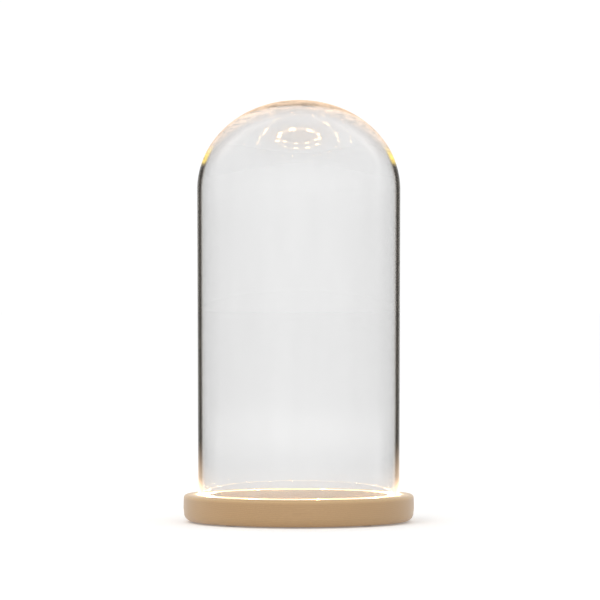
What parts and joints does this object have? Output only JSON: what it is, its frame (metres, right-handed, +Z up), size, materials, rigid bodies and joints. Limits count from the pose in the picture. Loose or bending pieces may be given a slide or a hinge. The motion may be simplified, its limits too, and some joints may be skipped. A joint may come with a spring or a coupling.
{
  "type": "lit bell jar",
  "caption": "Tall clear glass dome standing in the groove of a round wooden base, lit from below by a battery-powered ring of small warm lights.",
  "frame": {"origin": "on the surface that the feet stand on, below the axis of the glass", "axes": "+Z up along the axis of the glass, -Y towards the front, +X to the right"},
  "size_m": [0.165, 0.165, 0.3018],
  "materials": {
    "base_wood": "pale clear-lacquered softwood with fine straight grain",
    "dome_glass": "clear blown glass, polished",
    "light_window": "lit warm white, yellow phosphor window in a white package",
    "strip_white": "white flexible circuit",
    "tray_plastic": "moulded black, fine texture",
    "cell_wrap": "printed sleeve, plain colours",
    "bright_steel": "nickel plated",
    "board_green": "green solder resist on laminate",
    "chip_black": "moulded epoxy",
    "slider_white": "moulded",
    "lead_red": "PVC insulation",
    "lead_black": "PVC insulation",
    "foot_foam": "soft matt foam"
  },
  "bodies": {
    "base": {"wood_base": "base_wood", "light_strip": "strip_white", "battery_tray": "tray_plastic", "circuit_board": "board_green", "timer_chip": "chip_black", "limiting_resistor": "chip_black", "timer_crystal": "bright_steel", "switch_body": "bright_steel", "light_lead_positive": "lead_red", "light_lead_negative": "lead_black", "battery_lead_positive": "lead_red", "battery_lead_negative": "lead_black", "terminal_plate_positive": "bright_steel", "terminal_plate_negative": "bright_steel", "bridge_plate_front": "bright_steel", "bridge_plate_rear": "bright_steel", "board_screw_1": "bright_steel", "board_screw_2": "bright_steel", "light_1": "light_window", "light_2": "light_window", "light_3": "light_window", "light_4": "light_window", "light_5": "light_window", "light_6": "light_window", "light_7": "light_window", "light_8": "light_window", "light_9": "light_window", "battery_cell_1": "cell_wrap", "contact_spring_1": "bright_steel", "battery_cell_2": "cell_wrap", "contact_spring_2": "bright_steel", "battery_cell_3": "cell_wrap", "contact_spring_3": "bright_steel", "tray_screw_1": "bright_steel", "foot_pad_1": "foot_foam", "tray_screw_2": "bright_steel", "foot_pad_2": "foot_foam", "tray_screw_3": "bright_steel", "foot_pad_3": "foot_foam", "tray_screw_4": "bright_steel", "foot_pad_4": "foot_foam"},
    "glass": {"glass_dome": "dome_glass"},
    "door": {"battery_door": "tray_plastic"},
    "switch": {"switch_slider": "slider_white"}
  },
  "joints": [
    {"name": "glass_lift", "type": "slide", "parent": "base", "child": "glass", "axis": [0, 0, 1], "range_m": [0, 0.3]},
    {"name": "battery_door_hinge", "type": "hinge", "parent": "base", "child": "door", "pos_m": [-0.007, -0.0259, 0.0011], "axis": [-1, 0, 0], "range_deg": [0, 75]},
    {"name": "switch_slide", "type": "slide", "parent": "base", "child": "switch", "axis": [0, 1, 0], "range_m": [0, 0.004]}
  ]
}
